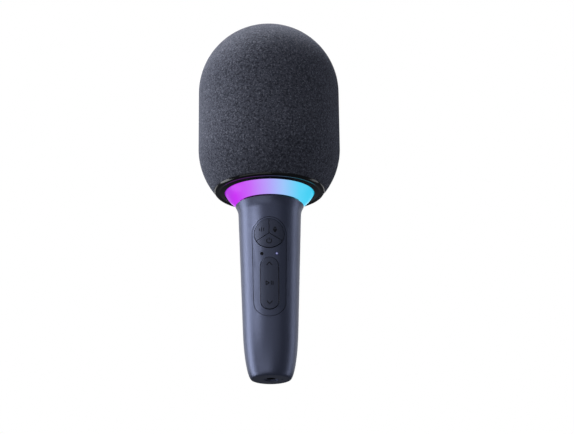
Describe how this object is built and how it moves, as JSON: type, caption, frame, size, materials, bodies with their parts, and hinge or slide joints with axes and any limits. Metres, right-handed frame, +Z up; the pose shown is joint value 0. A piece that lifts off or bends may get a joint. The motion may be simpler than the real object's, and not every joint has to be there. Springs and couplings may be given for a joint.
{
  "type": "karaoke microphone",
  "caption": "Wireless karaoke microphone with a fabric-covered speaker head, a light ring under it and a tapered handle with keys.",
  "frame": {"origin": "centre of the handle's flat lower end, the lowest point of the microphone", "axes": "+Z up the microphone's axis, from the handle's end to the top of the head; -Y towards the keys; +X to the right of someone facing the keys"},
  "size_m": [0.085, 0.085, 0.221],
  "materials": {
    "fabric": "charcoal navy heather knit",
    "black_plastic": "moulded ABS, fine texture",
    "foam": "open-cell foam",
    "nickel": "nickel plated",
    "black_rubber": "soft rubber",
    "pressed_steel": "pressed and passivated",
    "magnet": "plated magnet",
    "paper_cone": "coated paper",
    "radiator_steel": "weighted plate",
    "screw_steel": "zinc plated",
    "gloss_black": "piano black",
    "light_ring": "milky diffuser, lit magenta to cyan",
    "circuit_board": "glass-fibre laminate with solder mask",
    "led_body": "clear resin",
    "handle_metallic": "satin slate-blue metallic",
    "panel_metallic": "satin slate-blue metallic",
    "key_metallic": "satin slate-blue metallic",
    "white_nylon": "self-lubricating nylon",
    "spring_steel": "spring steel",
    "chip_black": "epoxy",
    "shield_can": "tinned can",
    "dark_window": "clear rod, unlit",
    "lit_window": "clear rod, lit bluish white",
    "cell_sleeve": "lithium cell in a shrink sleeve",
    "red_wire": "silicone wire",
    "yellow_wire": "silicone wire",
    "black_wire": "screened wire",
    "cap_metallic": "satin slate-blue metallic",
    "jack_black": "moulded insulator",
    "ribbon": "flat cable"
  },
  "bodies": {
    "microphone": {"fabric_sleeve": "fabric", "grille_frame": "black_plastic", "foam_liner": "foam", "mic_capsule": "nickel", "capsule_mount": "black_rubber", "capsule_bridge": "black_plastic", "speaker_box": "black_plastic", "speaker_box_lid": "black_plastic", "speaker_basket": "pressed_steel", "speaker_magnet": "magnet", "speaker_surround": "black_rubber", "radiator_frame": "pressed_steel", "radiator_surround": "black_rubber", "driver_screws": "screw_steel", "head_base": "black_plastic", "head_screws": "screw_steel", "bezel_ring": "gloss_black", "light_diffuser": "light_ring", "led_board": "circuit_board", "ring_leds": "led_body", "neck_collar": "black_plastic", "handle_shell": "handle_metallic", "control_panel": "panel_metallic", "key_guide": "white_nylon", "mode_dome": "spring_steel", "effects_dome": "spring_steel", "power_dome": "spring_steel", "volume_up_dome": "spring_steel", "play_dome": "spring_steel", "volume_down_dome": "spring_steel", "main_board": "circuit_board", "board_chips": "chip_black", "bluetooth_module": "shield_can", "status_leds": "led_body", "status_window_left": "dark_window", "status_window_right": "lit_window", "handle_screws": "screw_steel", "chassis": "black_plastic", "battery_cell": "cell_sleeve", "battery_tabs": "nickel", "battery_leads": "red_wire", "end_cap": "cap_metallic", "audio_jack": "jack_black", "usb_port": "nickel", "usb_tongue": "jack_black", "port_board": "circuit_board", "port_ribbon": "ribbon", "speaker_leads": "yellow_wire", "mic_lead": "black_wire", "ring_leads": "red_wire"},
    "mode_key": {"mode_button": "key_metallic"},
    "effects_key": {"effects_button": "key_metallic"},
    "power_key": {"power_button": "key_metallic"},
    "rocker_foot": {"rocker_carrier": "white_nylon"},
    "rocker": {"rocker_key": "key_metallic"},
    "speaker_diaphragm": {"speaker_cone": "paper_cone"},
    "radiator_diaphragm": {"radiator_plate": "radiator_steel"}
  },
  "joints": [
    {"name": "mode_press", "type": "slide", "parent": "microphone", "child": "mode_key", "axis": [0, 1, 0], "range_m": [0, 0.00025], "stiffness_N_per_m": 1500, "springref_m": -0.0008, "deforming": ["mode_dome"]},
    {"name": "effects_press", "type": "slide", "parent": "microphone", "child": "effects_key", "axis": [0, 1, 0], "range_m": [0, 0.00025], "stiffness_N_per_m": 1500, "springref_m": -0.0008, "deforming": ["effects_dome"]},
    {"name": "power_press", "type": "slide", "parent": "microphone", "child": "power_key", "axis": [0, 1, 0], "range_m": [0, 0.00025], "stiffness_N_per_m": 1500, "springref_m": -0.0008, "deforming": ["power_dome"]},
    {"name": "play_press", "type": "slide", "parent": "microphone", "child": "rocker_foot", "axis": [0, 1, 0], "range_m": [0, 0.00018], "stiffness_N_per_m": 1500, "springref_m": -0.0008, "deforming": ["play_dome"]},
    {"name": "rocker_tilt", "type": "hinge", "parent": "rocker_foot", "child": "rocker", "pos_m": [0, -0.015, 0.053], "axis": [1, 0, 0], "range_deg": [-1.7, 1.7], "stiffness_Nm_per_rad": 0.4, "deforming": ["volume_up_dome", "volume_down_dome"]},
    {"name": "speaker_travel", "type": "slide", "parent": "microphone", "child": "speaker_diaphragm", "axis": [0, -1, 0], "range_m": [-0.0008, 0.0008], "stiffness_N_per_m": 1200, "deforming": ["speaker_surround"]},
    {"name": "radiator_travel", "type": "slide", "parent": "microphone", "child": "radiator_diaphragm", "axis": [0, 1, 0], "range_m": [-0.0012, 0.0012], "stiffness_N_per_m": 600, "deforming": ["radiator_surround"]}
  ]
}
